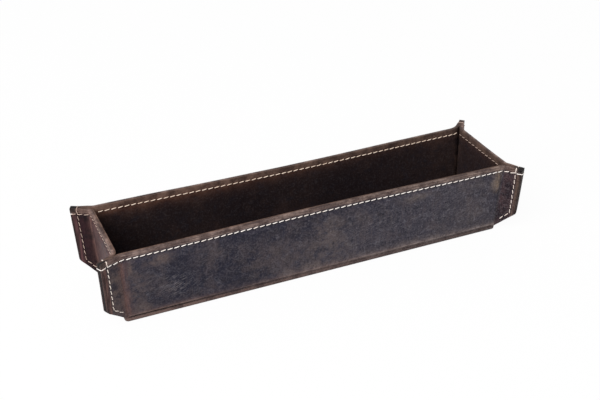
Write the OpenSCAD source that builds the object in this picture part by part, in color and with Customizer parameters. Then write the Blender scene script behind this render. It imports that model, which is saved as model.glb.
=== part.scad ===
// Leather pen tray: a folded and sewn leather tray with doubled corner ears
// Millimetres. X runs along the tray, Z is up, the origin is the middle of the underside.

/* [Tray] */
// Length of the base
base_len = 212.5; // [140:0.5:320]
// Width of the base
base_wid = 45.5; // [30:0.2:120]
// Height of the rim above the table
rim_h = 40.2; // [28:0.2:80]
// Outward lean of the long walls at the rim
long_lean = 3.3; // [0:0.1:12]
// Outward lean of the end walls at the rim
end_lean = 1.6; // [0:0.1:8]
// How far the long rims draw in at mid-length
long_bow = 1.7; // [0:0.1:6]

/* [Leather and boards] */
// Thickness of the outer leather
outer_t = 1.1; // [0.8:0.05:2]
// Thickness of the lining leather
lining_t = 0.8; // [0.5:0.05:1.5]
// Thickness of the wall boards
wall_board_t = 0.5; // [0.3:0.05:1.5]
// Thickness of the base board
base_board_t = 0.9; // [0.6:0.1:3]

/* [Corner ears] */
// Reach of each ear from the inner corner
ear_len = 11.5; // [10:0.1:25]
// Direction of the two left ears, from the long wall
left_ear_angle = 26; // [25:1:65]
// Direction of the two right ears, from the long wall
right_ear_angle = 49; // [25:1:65]
// Height of the ear's lower outer corner
ear_rise = 11.1; // [6:0.1:20]
// Bend radius of the corner folds at the foot
foot_bend_r = 3.6; // [3.2:0.1:8]
// Bend radius of the corner folds at the rim
rim_bend_r = 6; // [4:0.5:14]
// Rounding of the ear's lower outer corner
ear_corner_r = 1.5; // [0.5:0.1:3]

/* [Foot crease] */
// Width of the bead round the base
bead_w = 1.8; // [1.4:0.1:3]
// Depth of the crease above the bead
crease_d = 0.6; // [0.2:0.05:0.8]
// Corner radius of the base
base_corner_r = 5; // [2:0.1:8]

/* [Seams] */
// Thickness of the thread
thread_d = 0.8; // [0.4:0.05:1.2]
// Length of one stitch with its gap
stitch_pitch = 3.4; // [2.5:0.1:6]
// Gap between two stitches
stitch_gap = 0.8; // [0.5:0.1:2]
// Distance from the rim to the rim seam
rim_inset = 2.9; // [2.4:0.1:8]
// Distance from the ear's edge to the ear seam
ear_inset = 3.6; // [2:0.1:5]
// Distance from the inner corner to the end of the slanted ear seam
seam_stop = 3; // [2:0.1:4]

/* [Hidden] */

// Room left between glued layers, round the boards and under the threads
layer_gap = 0.05;
board_room = 0.1;
thread_gap = 0.06;

// Form of the bead: how far it stops below the lining, how far its lower edge draws in, and its rounding
bead_drop = 0.1;
bead_tuck = 1;
bead_round = 0.3;
// How deep the walls' foot is set into the bead
foot_sink = 0.7;
// The crease lies this far above the bead, and its slope back out to the wall is this long
crease_over = 0.4;
crease_run = 0.5;
// The step over the boards' upper edge ends this far below the rim seam, and is this long
step_below = 1.6;
step_run = 1.2;
// A seam's first stitch keeps this far from a cut edge, and from the seam that it crosses
edge_room = 0.5;
cross_room = 0.3;

// The walls, counted round from the front
WALLS = ["front", "right", "back", "left"];
function wall(name) = search([name], WALLS)[0];

// Offsets of each layer from the tray's inner face
lining_in = layer_gap / 2;
lining_out = lining_in + lining_t;
board_in = lining_out + layer_gap;
board_out = board_in + wall_board_t;
wall_out = board_out + layer_gap + outer_t;
wing_out = lining_out + layer_gap + outer_t;

// Heights of the layers in the base, and of the crease that the walls hinge on
board_z = outer_t + layer_gap;
floor_z0 = board_z + base_board_t + layer_gap;
floor_z1 = floor_z0 + lining_t;
bead_h = floor_z0 - bead_drop;
crease_z = bead_h + crease_over;
crease_top_z = crease_z + crease_d + crease_run;
foot_z = bead_h - foot_sink;

// The rim seam, and the step below it where the two leathers come together
rim_seam_z = rim_h - rim_inset;
step_z1 = rim_seam_z - step_below;
step_z0 = step_z1 - step_run;

// Sizes that differ between long walls and end walls
function is_long(w) = w % 2 == 0;
function half_run(w) = (is_long(w) ? base_len : base_wid) / 2 - wall_out;
function half_span(w) = (is_long(w) ? base_wid : base_len) / 2 - wall_out;
function lean_out(w) = is_long(w) ? long_lean : end_lean;
function lean_along(w) = is_long(w) ? end_lean : long_lean;
function bow(w) = is_long(w) ? long_bow : 0;

// A wall's left end is its side -1, seen from outside. Each ear turns away from the long wall by its own angle.
function side_of(u) = u < 0 ? -1 : 1;
function at_left(w, side) = w == wall("left") || w == wall(side < 0 ? "front" : "back");
function turn(w, side) = let (a = at_left(w, side) ? left_ear_angle : right_ear_angle)
    is_long(w) ? a : 90 - a;

// The share of the lean reached at a height: 0 at the crease, 1 at the rim
function rise(z) = max(0, z - crease_z) / (rim_h - crease_z);
function bend_r(z) = foot_bend_r + (rim_bend_r - foot_bend_r) * rise(z);
function tangent(w, side, z) = bend_r(z) * tan(turn(w, side) / 2);
function fold_start(w, side, z) = half_run(w) + lean_along(w) * rise(z) - tangent(w, side, z);

// A wall's own point turned to its side of the tray
function turned(w, p) = [
    p.x * cos(90 * w) - p.y * sin(90 * w),
    p.x * sin(90 * w) + p.y * cos(90 * w),
    p.z];

// A point of wall w. u is 0 at mid-wall, 1 where the corner fold starts, 2 where it ends and 3 at the
// ear's edge, negative to the left; off is the distance outward from the tray's inner face.
function place(w, u, z, off) =
    let (m = abs(u), side = side_of(u), r = bend_r(z), start = fold_start(w, side, z),
        a_turn = turn(w, side) * min(max(m - 1, 0), 1),
        e = m > 2 ? (ear_len - tangent(w, side, z)) * (m - 2) : 0,
        a = m <= 1 ? m * start : start + r * sin(a_turn) + e * cos(a_turn),
        o = m <= 1 ? -bow(w) * rise(z) * pow(1 - m * m, 2) : r * (1 - cos(a_turn)) + e * sin(a_turn))
    turned(w, [side * (a - off * sin(a_turn)),
        -(half_span(w) + lean_out(w) * rise(z) + o + off * cos(a_turn)), z]);

// The value of u at a distance e along the ear
function ear_u(w, side, z, e) = let (t = tangent(w, side, z)) 2 + (e - t) / (ear_len - t);

// Lower edge of the blank: the foot along the wall, then the slanted cut below the ear
function reach(w, u) = let (m = abs(u), t = tangent(w, side_of(u), foot_z))
    m <= 1 ? 0 : m <= 2 ? t * (m - 1) : t + (ear_len - t) * (m - 2);
function corner_lift(e) = let (x = e - (ear_len - ear_corner_r))
    x <= 0 ? 0 : ear_corner_r - sqrt(max(0, ear_corner_r * ear_corner_r - x * x));
function cut_z(w, u) = let (e = reach(w, u)) foot_z + (ear_rise - foot_z) * e / ear_len + corner_lift(e);

// Stations along a wall and its two wings
wall_steps = 12;
end_steps = 4;
fold_steps = 6;
corner_steps = 3;
function corner_u(w, side, i) =
    ear_u(w, side, foot_z, ear_len - ear_corner_r * (1 - sin(90 * i / corner_steps)));
function wing_stations(w, side) =
    [for (i = [1:fold_steps]) 1 + i / fold_steps, 2.5, for (i = [0:corner_steps]) corner_u(w, side, i)];
function stations(w) = let (n = is_long(w) ? wall_steps : end_steps,
    left = wing_stations(w, -1), right = wing_stations(w, 1))
    concat([for (i = [len(left) - 1:-1:0]) -left[i]], [for (i = [0:n]) -1 + 2 * i / n], right);

// A closed sheet from two grids of points, outer face and inner face, as columns of rows
module sheet(outer, inner) {
    nc = len(outer);
    nr = len(outer[0]);
    function at(c, r) = c * nr + r;
    back = nc * nr;
    polyhedron(points = [for (c = outer) each c, for (c = inner) each c],
        faces = [
            for (c = [0:nc - 2], r = [0:nr - 2]) each [
                [at(c, r), at(c, r + 1), at(c + 1, r + 1)],
                [at(c, r), at(c + 1, r + 1), at(c + 1, r)],
                [back + at(c, r), back + at(c + 1, r + 1), back + at(c, r + 1)],
                [back + at(c, r), back + at(c + 1, r), back + at(c + 1, r + 1)]],
            for (c = [0:nc - 2]) each [
                [at(c, 0), at(c + 1, 0), back + at(c + 1, 0)],
                [at(c, 0), back + at(c + 1, 0), back + at(c, 0)],
                [at(c, nr - 1), back + at(c + 1, nr - 1), at(c + 1, nr - 1)],
                [at(c, nr - 1), back + at(c, nr - 1), back + at(c + 1, nr - 1)]],
            for (r = [0:nr - 2]) each [
                [at(0, r), back + at(0, r), back + at(0, r + 1)],
                [at(0, r), back + at(0, r + 1), at(0, r + 1)],
                [at(nc - 1, r), back + at(nc - 1, r + 1), back + at(nc - 1, r)],
                [at(nc - 1, r), at(nc - 1, r + 1), back + at(nc - 1, r + 1)]]]);
}

// A closed body from a stack of equal closed loops, with its two ends capped
module stack(loops) {
    n = len(loops[0]);
    last = len(loops) - 1;
    polyhedron(points = [for (l = loops) each l],
        faces = [
            for (i = [1:n - 2]) each [[0, i, i + 1], [last * n, last * n + i + 1, last * n + i]],
            for (k = [0:last - 1], i = [0:n - 1]) let (j = (i + 1) % n) each [
                [k * n + i, (k + 1) * n + i, (k + 1) * n + j],
                [k * n + i, (k + 1) * n + j, k * n + j]]]);
}

// The base's rounded outline, drawn in by an inset, at a height
base_steps = 4;
function base_loop(inset, z) = let (r = max(base_corner_r - inset, bead_round))
    [for (q = [0:3], i = [0:base_steps]) let (a = 90 * q + 90 * i / base_steps)
        [(base_len / 2 - inset - r) * (q == 0 || q == 3 ? 1 : -1) + r * cos(a),
            (base_wid / 2 - inset - r) * (q < 2 ? 1 : -1) + r * sin(a), z]];

// One wall of the outer leather with its wings, from inside the bead to the rim
module outer_flap(w) {
    us = stations(w);
    // Height of each row on the wall, and how far it stands out over the board
    step = wall_out - wing_out;
    rows = [[foot_z, step - crease_d], [crease_z, step - crease_d], [crease_top_z, step],
        [(2 * crease_top_z + step_z0) / 3, step], [(crease_top_z + 2 * step_z0) / 3, step],
        [step_z0, step], [step_z1, 0], [rim_h, 0]];
    function on_board(u) = max(0, 1 - 2 * max(abs(u) - 1, 0));
    function z_at(u, row) = let (z0 = cut_z(w, u)) z0 + (rim_h - z0) * (row[0] - foot_z) / (rim_h - foot_z);
    function outer(u, row) = place(w, u, z_at(u, row), wing_out + row[1] * on_board(u));
    function inner(u, row) = place(w, u, z_at(u, row), wing_out - outer_t + max(0, row[1]) * on_board(u));
    sheet([for (u = us) [for (row = rows) outer(u, row)]], [for (u = us) [for (row = rows) inner(u, row)]]);
}

module outer_leather() {
    color("saddlebrown") {
        stack([base_loop(bead_tuck, 0), base_loop(bead_round, bead_round), base_loop(0, bead_h * 0.45),
            base_loop(0, bead_h * 0.7), base_loop(bead_round, bead_h), base_loop(bead_w, bead_h),
            base_loop(bead_w, outer_t)]);
        for (w = [0:3]) outer_flap(w);
    }
}

// One wall of the lining with its wings
module lining_flap(w) {
    us = stations(w);
    rows = [floor_z0, crease_z, (2 * crease_z + rim_h) / 3, (crease_z + 2 * rim_h) / 3, rim_h];
    function z_at(u, z) = let (z0 = max(cut_z(w, u), floor_z0))
        z0 + (rim_h - z0) * (z - floor_z0) / (rim_h - floor_z0);
    function face(off) = [for (u = us) [for (z = rows) place(w, u, z_at(u, z), off)]];
    sheet(face(lining_out), face(lining_in));
}

module lining_leather() {
    inset = wall_out - lining_out;
    color("peru") {
        stack([base_loop(inset, floor_z0), base_loop(inset, floor_z1)]);
        for (w = [0:3]) lining_flap(w);
    }
}

module base_board() {
    color("burlywood")
        stack([base_loop(bead_w + board_room, board_z), base_loop(bead_w + board_room, board_z + base_board_t)]);
}

// A stiff board between the two leathers of one wall
module wall_board(w) {
    n = is_long(w) ? wall_steps : end_steps;
    rows = [crease_top_z + board_room, (crease_top_z + step_z0) / 2, step_z0 - board_room];
    function face(off) = [for (i = [0:n]) [for (z = rows)
        place(w, (-1 + 2 * i / n) * (1 - board_room / half_run(w)), z, off)]];
    sheet(face(board_out), face(board_in));
}

module front_wall_board() { color("tan") wall_board(wall("front")); }
module back_wall_board() { color("tan") wall_board(wall("back")); }
module left_wall_board() { color("tan") wall_board(wall("left")); }
module right_wall_board() { color("tan") wall_board(wall("right")); }

// One length of thread between two points, full where a stitch shows and thin where it dips
module thread_piece(p, q, r, taper) {
    d = q - p;
    l = norm(d);
    translate(p) rotate([0, acos(d.z / l), atan2(d.y, d.x)])
        if (taper) rotate_extrude($fn = 16)
            polygon([[0, 0], [r * 0.6, 0], [r, r * 0.7], [r, l - r * 0.7], [r * 0.6, l], [0, l]]);
        else cylinder(r = r, h = l, $fn = 16);
}

// A row of stitches at an even pitch along a line of points
module stitches(path) {
    steps = [for (i = [1:len(path) - 1]) norm(path[i] - path[i - 1])];
    function run(i) = i == 0 ? 0 : run(i - 1) + steps[i - 1];
    lengths = [for (i = [0:len(path) - 1]) run(i)];
    total = lengths[len(path) - 1];
    count = max(1, round((total + stitch_gap) / stitch_pitch));
    pitch = (total + stitch_gap) / count;
    function along(s) = [for (k = [0:2]) lookup(s, [for (i = [0:len(path) - 1]) [lengths[i], path[i][k]]])];
    for (i = [0:count - 1])
        thread_piece(along(i * pitch), along((i + 1) * pitch - stitch_gap), thread_r, true);
    if (count > 1) for (i = [1:count - 1]) {
        p = along(i * pitch - stitch_gap);
        q = along(i * pitch);
        lap = thread_r / 2 * (q - p) / norm(q - p);
        thread_piece(p - lap, q + lap, thread_r * 0.4, false);
    }
}

// Threads lie on the leather's face, with their middle this far out
thread_r = thread_d / 2;
seam_off = wing_out + thread_gap + thread_r;
seam_edge = ear_len + thread_gap + thread_r;
function ear_point(w, side, e, z, off) = place(w, side * ear_u(w, side, z, e), z, off);

// The rim seam: outside from ear to ear, inside as far as the corner folds leave room for the thread. On the
// long walls it ends with a stitch round the cut edge of each ear.
rim_steps = 24;
function rim_line(w, ends, off) = [for (i = [-rim_steps:rim_steps])
    place(w, ends[i < 0 ? 0 : 1] * i / rim_steps, rim_seam_z, off)];
module rim_needle(w) {
    color("ivory") {
        stitches(rim_line(w, [for (side = [-1, 1])
            ear_u(w, side, rim_seam_z, is_long(w) ? seam_edge : ear_len - edge_room)], seam_off));
        if (is_long(w)) for (side = [-1, 1])
            thread_piece(ear_point(w, side, seam_edge, rim_seam_z, seam_off + thread_r),
                ear_point(w, side, seam_edge, rim_seam_z, -wing_out), thread_r, true);
    }
}
thread_room = thread_gap + thread_d + cross_room / 2 - lining_in;
function bobbin_u(w, side) = let (r = bend_r(rim_seam_z), a = turn(w, side), fold_room = r * (1 - cos(a)))
    thread_room < fold_room ? 2 - acos(1 - thread_room / r) / a
        : 1 - (thread_room - fold_room) / sin(a) / fold_start(w, side, rim_seam_z);
module rim_bobbin(w) {
    color("ivory")
        stitches(rim_line(w, [for (side = [-1, 1]) bobbin_u(w, side)], lining_in - thread_gap - thread_r));
}

module front_rim_needle_thread() { rim_needle(wall("front")); }
module front_rim_bobbin_thread() { rim_bobbin(wall("front")); }
module back_rim_needle_thread() { rim_needle(wall("back")); }
module back_rim_bobbin_thread() { rim_bobbin(wall("back")); }
module left_rim_needle_thread() { rim_needle(wall("left")); }
module left_rim_bobbin_thread() { rim_bobbin(wall("left")); }
module right_rim_needle_thread() { rim_needle(wall("right")); }
module right_rim_bobbin_thread() { rim_bobbin(wall("right")); }

// The ear seam: down beside the ear's edge, across the rim seam, then along the slanted cut
seam_e = ear_len - ear_inset;
cut_slope = (ear_rise - foot_z) / ear_len;
function seam_over_cut(e) = foot_z + cut_slope * e + ear_inset * sqrt(1 + cut_slope * cut_slope);
edge_z = rim_h + thread_gap + thread_r;
cross_z = thread_r + thread_r + cross_room;
function upper_line(w, side, z_top) = [for (z = [z_top, rim_seam_z + cross_z])
    ear_point(w, side, seam_e, z, seam_off)];
function lower_line(w, side) = [
    for (i = [0:6]) let (z0 = rim_seam_z - cross_z)
        ear_point(w, side, seam_e, z0 + (seam_over_cut(seam_e) - z0) * i / 6, seam_off),
    for (i = [1:4]) let (e = seam_e + (seam_stop - seam_e) * i / 4)
        ear_point(w, side, e, seam_over_cut(e), seam_off)];
function other_wall(w, side) = (w + (side < 0 ? 3 : 1)) % 4;

// The needle thread lies on the long wall's wing and begins with a stitch over the ear's top edge
module ear_needle(w, side) {
    color("ivory") {
        thread_piece(ear_point(w, side, seam_e, edge_z, seam_off + thread_r),
            ear_point(w, side, seam_e, edge_z, -wing_out), thread_r, true);
        stitches(upper_line(w, side, edge_z));
        stitches(lower_line(w, side));
    }
}
// The bobbin thread lies on the end wall's wing
module ear_bobbin(w, side) {
    color("ivory") {
        stitches(upper_line(other_wall(w, side), -side, rim_h - edge_room));
        stitches(lower_line(other_wall(w, side), -side));
    }
}

module front_left_ear_needle_thread() { ear_needle(wall("front"), -1); }
module front_left_ear_bobbin_thread() { ear_bobbin(wall("front"), -1); }
module front_right_ear_needle_thread() { ear_needle(wall("front"), 1); }
module front_right_ear_bobbin_thread() { ear_bobbin(wall("front"), 1); }
module back_left_ear_needle_thread() { ear_needle(wall("back"), 1); }
module back_left_ear_bobbin_thread() { ear_bobbin(wall("back"), 1); }
module back_right_ear_needle_thread() { ear_needle(wall("back"), -1); }
module back_right_ear_bobbin_thread() { ear_bobbin(wall("back"), -1); }

outer_leather();
lining_leather();
base_board();
front_wall_board();
back_wall_board();
left_wall_board();
right_wall_board();
front_rim_needle_thread();
front_rim_bobbin_thread();
back_rim_needle_thread();
back_rim_bobbin_thread();
left_rim_needle_thread();
left_rim_bobbin_thread();
right_rim_needle_thread();
right_rim_bobbin_thread();
front_left_ear_needle_thread();
front_left_ear_bobbin_thread();
front_right_ear_needle_thread();
front_right_ear_bobbin_thread();
back_left_ear_needle_thread();
back_left_ear_bobbin_thread();
back_right_ear_needle_thread();
back_right_ear_bobbin_thread();
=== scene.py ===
"""Leather pen tray: folded walls, sewn ears and a stitched rim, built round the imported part."""

import math

import bmesh
import bpy
from mathutils import Matrix, Vector, noise


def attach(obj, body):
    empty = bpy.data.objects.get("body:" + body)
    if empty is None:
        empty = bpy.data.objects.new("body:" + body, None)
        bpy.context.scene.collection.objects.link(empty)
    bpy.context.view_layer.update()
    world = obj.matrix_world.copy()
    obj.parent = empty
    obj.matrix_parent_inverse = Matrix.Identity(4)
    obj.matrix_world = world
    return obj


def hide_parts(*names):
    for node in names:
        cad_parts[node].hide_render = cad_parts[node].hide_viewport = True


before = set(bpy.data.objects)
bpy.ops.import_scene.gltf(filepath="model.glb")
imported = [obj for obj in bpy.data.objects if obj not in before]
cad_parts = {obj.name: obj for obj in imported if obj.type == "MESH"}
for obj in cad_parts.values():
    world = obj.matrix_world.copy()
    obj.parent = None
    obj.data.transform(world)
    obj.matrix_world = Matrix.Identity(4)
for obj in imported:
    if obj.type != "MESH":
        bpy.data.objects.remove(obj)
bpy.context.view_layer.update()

# Sizes of the tray in metres, the same as the part's own
BASE_LENGTH = 0.2125
BASE_WIDTH = 0.0455
RIM_HEIGHT = 0.0402
LONG_LEAN = 0.0033
END_LEAN = 0.0016
LONG_BOW = 0.0017
OUTER_THICK = 0.0011
LINING_THICK = 0.0008
WALL_BOARD = 0.0005
BASE_BOARD = 0.0009
LAYER_GAP = 0.00005
EAR_LENGTH = 0.0115
LEFT_EAR_ANGLE = math.radians(26)
RIGHT_EAR_ANGLE = math.radians(49)
EAR_RISE = 0.0111
FOOT_BEND = 0.0036
RIM_BEND = 0.006
BEAD_DROP = 0.0001
FOOT_SINK = 0.0007
BASE_CORNER = 0.005
CREASE_DEPTH = 0.0006
CREASE_OVER = 0.0004
CREASE_RUN = 0.0005
THREAD = 0.0008
STITCH = 0.0034
STITCH_GAP = 0.0008
RIM_SEAM_DROP = 0.0029
EAR_SEAM_INSET = 0.0036
SEAM_STOP = 0.003
STEP_BELOW = 0.0016
STEP_RUN = 0.0012

# Sizes that differ from the part's, as the photograph shows them: the ears' lower corner, the fold at the
# rim of the back right corner, and how far the ear seam keeps from the slanted lower cut
EAR_CORNER = 0.0009
WIDE_RIM_BEND = 0.011
LOW_SEAM_INSET = 0.0024

# How far the base and the foot of an end wall are drawn in at the left and right end, the height over which
# the wall comes out again, and the rounding of the base's corners
LEFT_TUCK = 0.0013
RIGHT_TUCK = 0.0026
TUCK_HEIGHT = 0.004
BEAD_CORNER = 0.002

# Share of its thickness that the leather loses where the ears are pressed and sewn, and the stations from
# which and over which it gets thinner
EAR_PRESS = 0.22
PRESS_FROM = 2.1
PRESS_RUN = 0.5

# The front right ear's twist: how much its angle grows from the foot to the rim, the share of the height at
# which it has its plain angle, and the share of its length that is drawn in at the rim
EAR_TWIST = math.radians(20)
PLAIN_AT = 0.65
EAR_DRAW = 0.05

# The pull along a seam: its depth in both leathers, and its half width
OUTER_PULL = 0.00022
LINING_PULL = 0.0002
PULL_HALF = 0.0007

# Ripples of the outer leather: depth, length, height, and the height above the crease at which they are full
RIPPLE_DEPTH = 0.00022
RIPPLE_LENGTH = 0.021
RIPPLE_HEIGHT = 0.016
RIPPLE_START = 0.006

# Roundings: the lining at the floor, the bead's lower and upper edge, and the cut edges of both leathers
FLOOR_ROUND = 0.0016
BEAD_LOW_ROUND = 0.0008
BEAD_TOP_ROUND = 0.0006
OUTER_EDGE_ROUND = 0.00025
LINING_EDGE_ROUND = 0.0002

# Angles past which an edge counts as cut, and past which it isn't shaded smooth
CUT_ANGLE = math.radians(70)
SMOOTH_ANGLE = math.radians(40)

# Columns of a sheet: for each stitch along a wall, in a corner fold, in a wing, and the angles of those that
# follow the rounded lower corner, with the room that the plain columns leave them
STITCH_COLUMNS = 3
FOLD_COLUMNS = 10
WING_COLUMNS = 13
CORNER_ANGLES = (0, 22, 42, 60, 76, 90)
COLUMN_ROOM = 0.03

# Rows of a sheet: their spacing at the foot, on the plain walls, at the rim seam and above it, how far above
# the rim seam the last change lies, and the height over which they follow the lower cut
FOOT_ROW = 0.00032
OUTER_ROW = 0.0012
LINING_ROW = 0.0014
SEAM_ROW = 0.0004
RIM_ROW = 0.0006
OVER_SEAM = 0.0012
CUT_ROWS = 0.019

# Rubbed places on the long walls: middle along the wall, height, half length, half height, strength
RUBBED = (
    (-0.087, 0.033, 0.007, 0.003, 0.9), (-0.098, 0.018, 0.006, 0.016, 0.48),
    (-0.096, 0.007, 0.006, 0.005, 0.6), (0.002, 0.026, 0.012, 0.008, 0.55),
    (-0.007, 0.006, 0.024, 0.0035, 0.6), (0.066, 0.0045, 0.028, 0.0025, 0.4),
    (0.053, 0.033, 0.008, 0.002, 0.6), (0.084, 0.012, 0.012, 0.008, 0.22),
    (-0.06, 0.026, 0.014, 0.007, 0.2), (0.0985, 0.0325, 0.0017, 0.005, 1.0),
    (-0.1005, 0.031, 0.0013, 0.005, 0.9), (-0.1095, 0.022, 0.004, 0.014, 0.75),
    (-0.033, 0.017, 0.016, 0.014, 0.34), (0.002, 0.015, 0.016, 0.009, 0.55),
    (0.085, 0.033, 0.014, 0.004, 0.3))

# Scuffed places on the long walls, in the same order
SCUFFED = (
    (-0.078, 0.016, 0.008, 0.006, 1.0), (0.03, 0.022, 0.02, 0.01, 0.45),
    (0.072, 0.021, 0.02, 0.01, 0.45), (-0.05, 0.027, 0.016, 0.006, 0.25),
    (-0.09, 0.02, 0.012, 0.012, 0.3))

# The zones of rubbing and of painted light and shade that the finishes read from the leathers
ZONES = ("rim", "foot", "fold", "wing", "strip", "shade", "end", "rub", "scuff", "bead")

# How dark each ear's tip is above the rim seam, by whether it is at the left and at the front
TIP_DARK = {(True, True): 0.6, (False, True): 1.0, (True, False): 0.85, (False, False): 0.1}

# How much of the ears' own finish shows on the outer leather's wings at the back right and on the front
# wall's left wing, and on the lining's at the back right
BACK_RIGHT_WING = 0.25
FRONT_LEFT_WING = 0.6
BACK_RIGHT_LINING = 0.2

# The walls, counted round from the front
FRONT, RIGHT, BACK, LEFT = range(4)
WALL_NAMES = ("front", "right", "back", "left")

# How far each layer lies outside the tray's inner face
LINING_IN = LAYER_GAP / 2
LINING_OUT = LINING_IN + LINING_THICK
WING_OUT = LINING_OUT + LAYER_GAP + OUTER_THICK
WALL_OUT = WING_OUT + WALL_BOARD + LAYER_GAP

# Heights of the floor, the foot, the crease above the bead, and the rim seam
FLOOR_LOW = OUTER_THICK + BASE_BOARD + 2 * LAYER_GAP
FLOOR_TOP = FLOOR_LOW + LINING_THICK
BEAD_TOP = FLOOR_LOW - BEAD_DROP
FOOT = BEAD_TOP - FOOT_SINK
CREASE = BEAD_TOP + CREASE_OVER
CREASE_TOP = CREASE + CREASE_DEPTH + CREASE_RUN
RIM_SEAM = RIM_HEIGHT - RIM_SEAM_DROP
STEP_TOP = RIM_SEAM - STEP_BELOW
STEP_LOW = STEP_TOP - STEP_RUN

# The ear seam's distance from the inner corner, the slope of the ear's lower cut, and the stretch that this
# slope gives to upright measures
EAR_SEAM = EAR_LENGTH - EAR_SEAM_INSET
CUT_SLOPE = (EAR_RISE - FOOT) / EAR_LENGTH
CUT_STRETCH = math.sqrt(1 + CUT_SLOPE ** 2)


def is_long(wall):
    return wall in (FRONT, BACK)


def half_run(wall):
    return (BASE_LENGTH if is_long(wall) else BASE_WIDTH) / 2 - WALL_OUT


def half_span(wall):
    return (BASE_WIDTH if is_long(wall) else BASE_LENGTH) / 2 - WALL_OUT


def at_left(wall, side):
    """Whether a wall's end, left of it (side below 0) or right seen from outside, is at the tray's left."""
    return wall == LEFT or wall == (FRONT if side < 0 else BACK)


def at_front(wall, side):
    """Whether a wall's end is at the tray's front."""
    return wall == FRONT or wall == (RIGHT if side < 0 else LEFT)


def at_back_right(wall, side):
    return not at_left(wall, side) and not at_front(wall, side)


def is_twisted(wall, side):
    """Whether a wall's end is at the front right, where the ear is twisted."""
    return at_front(wall, side) and not at_left(wall, side)


def rise(z):
    """Share of the wall's height above the crease."""
    return max(0.0, z - CREASE) / (RIM_HEIGHT - CREASE)


def turn(wall, side, z):
    """Angle of the corner fold at one end of a wall."""
    angle = LEFT_EAR_ANGLE if at_left(wall, side) else RIGHT_EAR_ANGLE
    if is_twisted(wall, side):
        angle += EAR_TWIST * (rise(z) - PLAIN_AT)
    return angle if is_long(wall) else math.pi / 2 - angle


def bend_radius(wall, side, z):
    """Radius of a corner fold, which opens toward the rim and most at the back right corner."""
    at_rim = WIDE_RIM_BEND if at_back_right(wall, side) else RIM_BEND
    return FOOT_BEND + (at_rim - FOOT_BEND) * rise(z)


def tangent(wall, side, z):
    """Distance from the fold's start to the corner where the two straight runs would meet."""
    return bend_radius(wall, side, z) * math.tan(turn(wall, side, z) / 2)


def fold_start(wall, side, z):
    """Distance along the wall, from its middle, where the corner fold begins."""
    lean_along = END_LEAN if is_long(wall) else LONG_LEAN
    return half_run(wall) + lean_along * rise(z) - tangent(wall, side, z)


def wing_run(wall, side, z):
    """Straight length of the ear wing after the corner fold."""
    return EAR_LENGTH - tangent(wall, side, z)


def fold_share(u):
    """Share of the corner fold that lies before a station."""
    return min(max(abs(u) - 1, 0), 1)


def wing_share(u):
    """Share of the ear wing that lies before a station."""
    return max(abs(u) - 2, 0)


def ear_u(wall, side, z, reach):
    """Station that lies at a distance along the ear, measured from the inner corner."""
    return side * (3 - (EAR_LENGTH - reach) / wing_run(wall, side, z))


def ear_reach(wall, u, z):
    """Distance of a station along the ear, measured from the inner corner."""
    return EAR_LENGTH - wing_run(wall, u, z) * (3 - abs(u))


def flat_reach(wall, u, z):
    """Distance from mid-wall along the flat blank."""
    run = fold_start(wall, u, z) * min(abs(u), 1)
    run += bend_radius(wall, u, z) * turn(wall, u, z) * fold_share(u)
    return math.copysign(run + wing_run(wall, u, z) * wing_share(u), u)


def place(wall, u, z, off):
    """A point of a wall. u is 0 at mid-wall, 1 where the corner fold starts, 2 where it ends and 3 at the
    ear's edge, negative to the left; off is the distance outward from the tray's inner face."""
    away = abs(u)
    radius = bend_radius(wall, u, z)
    angle = turn(wall, u, z) * fold_share(u)
    if away <= 1:
        along = away * fold_start(wall, u, z)
        out = -(LONG_BOW if is_long(wall) else 0.0) * rise(z) * (1 - away * away) ** 2
    else:
        drawn = EAR_DRAW * rise(z) if is_twisted(wall, u) else 0.0
        ear = wing_run(wall, u, z) * wing_share(u) * (1 - drawn)
        along = fold_start(wall, u, z) + radius * math.sin(angle) + ear * math.cos(angle)
        out = radius * (1 - math.cos(angle)) + ear * math.sin(angle)
    lean = LONG_LEAN if is_long(wall) else END_LEAN
    out += half_span(wall) + lean * rise(z) + off * math.cos(angle)
    point = Vector((math.copysign(along - off * math.sin(angle), u), -out, z))
    return Matrix.Rotation(wall * math.pi / 2, 3, "Z") @ point


def lower_edge(wall, u):
    """Height of the blank's lower edge: the foot along the wall, then the slanted cut under the ear."""
    reach = tangent(wall, u, FOOT) * fold_share(u) + wing_run(wall, u, FOOT) * wing_share(u)
    over = reach - (EAR_LENGTH - EAR_CORNER)
    lift = EAR_CORNER - math.sqrt(max(0.0, EAR_CORNER ** 2 - over ** 2)) if over > 0 else 0.0
    return FOOT + CUT_SLOPE * reach + lift


def low_seam(reach):
    """Height of the ear seam's slanted leg at a distance along the ear."""
    return FOOT + CUT_SLOPE * reach + LOW_SEAM_INSET * CUT_STRETCH


def pressed(u):
    """Share of the leather's thickness left where the ears are pressed together."""
    return 1 - EAR_PRESS * grow(abs(u), PRESS_FROM, PRESS_RUN)


def grow(x, start, over):
    """A soft step from 0 at its start to 1 at its end."""
    share = min(max((x - start) / over, 0.0), 1.0)
    return share * share * (3 - 2 * share)


def band(x, centre, width):
    """A soft band, 1 in its middle."""
    return math.exp(-((x - centre) / width) ** 2)


def steps(levels, gaps):
    """Values from the first level to the last, with a spacing of their own between each two levels."""
    values = [levels[0]]
    for low, high, gap in zip(levels, levels[1:], gaps):
        count = max(1, round((high - low) / gap))
        values += [low + (high - low) * i / count for i in range(1, count + 1)]
    return values


def deselect():
    for obj in bpy.context.selected_objects:
        obj.select_set(False)


def take(obj):
    """Makes one object the selected and active one."""
    deselect()
    obj.select_set(True)
    bpy.context.view_layer.objects.active = obj


def apply_modifier(obj, kind, **settings):
    take(obj)
    modifier = obj.modifiers.new(kind.lower(), kind)
    for key, value in settings.items():
        setattr(modifier, key, value)
    bpy.ops.object.modifier_apply(modifier=modifier.name)


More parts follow.
